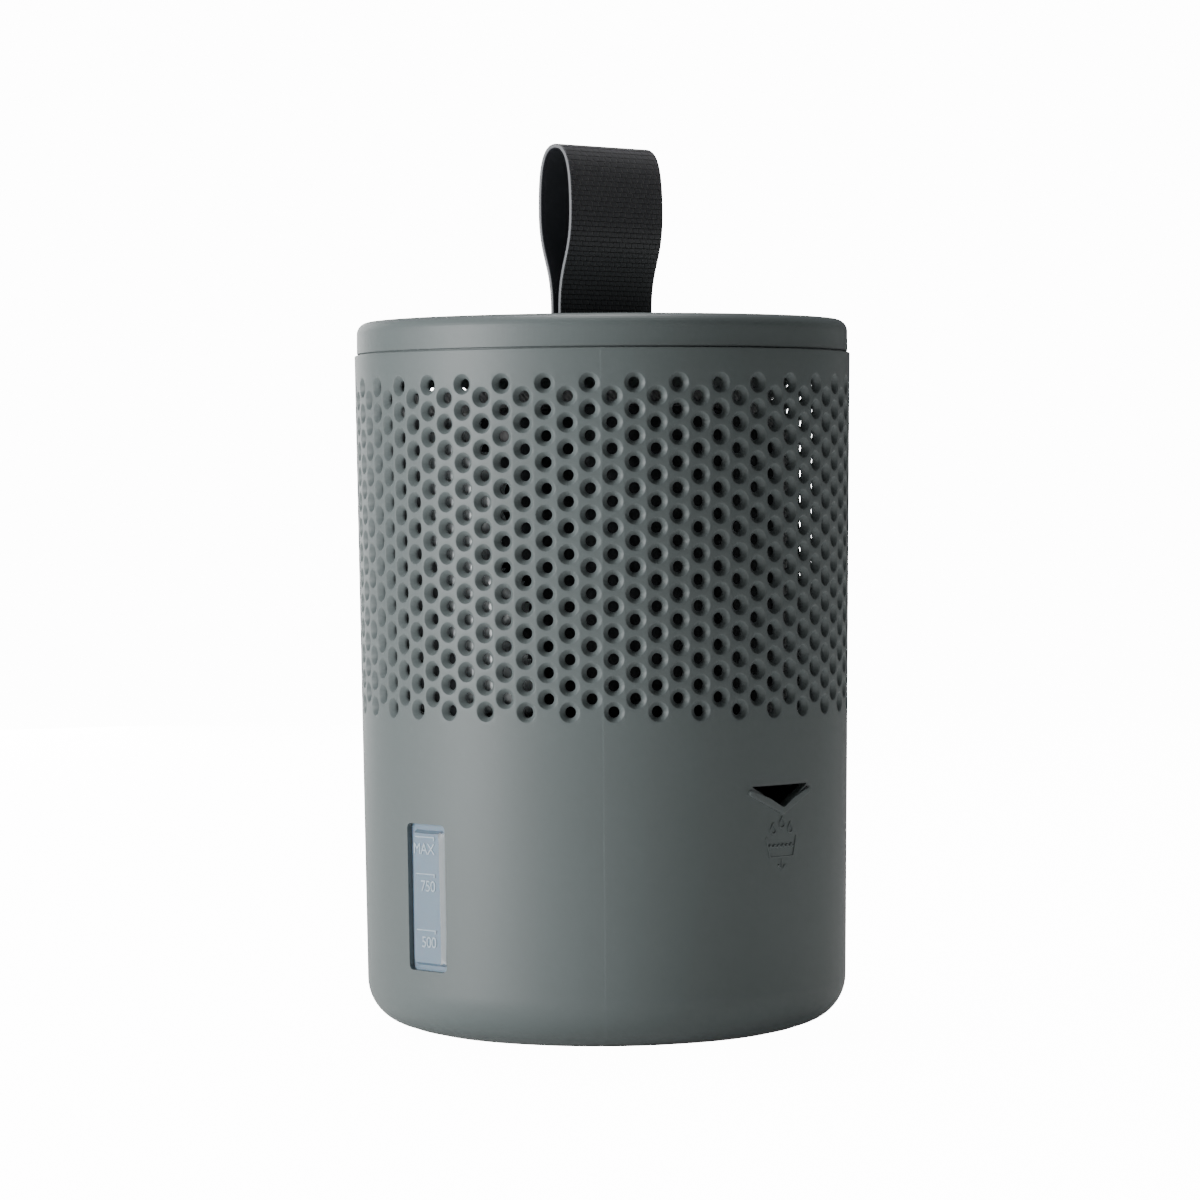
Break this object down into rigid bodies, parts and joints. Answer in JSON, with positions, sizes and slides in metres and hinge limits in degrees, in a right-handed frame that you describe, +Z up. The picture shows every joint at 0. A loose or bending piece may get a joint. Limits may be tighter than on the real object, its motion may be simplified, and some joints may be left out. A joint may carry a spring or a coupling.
{
  "type": "dehumidifier",
  "caption": "Passive moisture absorber: round perforated canister with a brine reservoir, level window, pour spout and a lid with a carry strap.",
  "frame": {"origin": "centre of the foot ring, on the surface that the canister stands on", "axes": "+Z up the canister's axis; the level window faces -Y and the pour spout faces +X"},
  "size_m": [0.15, 0.15, 0.2664],
  "materials": {
    "moulded_housing": "fine satin texture, grey green polypropylene",
    "level_window": "translucent natural polypropylene",
    "drip_grate": "plain moulded",
    "pouch_film": "thin translucent film",
    "pouch_membrane": "breathable nonwoven",
    "absorbent_granules": "loose salt granules",
    "strap": "fabric-embossed thermoplastic rubber",
    "screws": "zinc plated"
  },
  "bodies": {
    "canister": {"housing": "moulded_housing", "level_window": "level_window", "drip_grate": "drip_grate", "pouch_film": "pouch_film", "pouch_membrane": "pouch_membrane", "absorbent_granules": "absorbent_granules"},
    "lid": {"lid": "moulded_housing", "strap_tails": "strap", "strap_clamp_plate": "drip_grate", "clamp_screws": "screws"},
    "strap": {"strap_loop": "strap"}
  },
  "joints": [
    {"name": "lid_lift", "type": "slide", "parent": "canister", "child": "lid", "axis": [0, 0, 1], "range_m": [0, 0.04]},
    {"name": "strap_fold", "type": "hinge", "parent": "lid", "child": "strap", "pos_m": [0, 0, 0.2159], "axis": [0, 1, 0], "range_deg": [-70, 70], "stiffness_Nm_per_rad": 0.02}
  ]
}
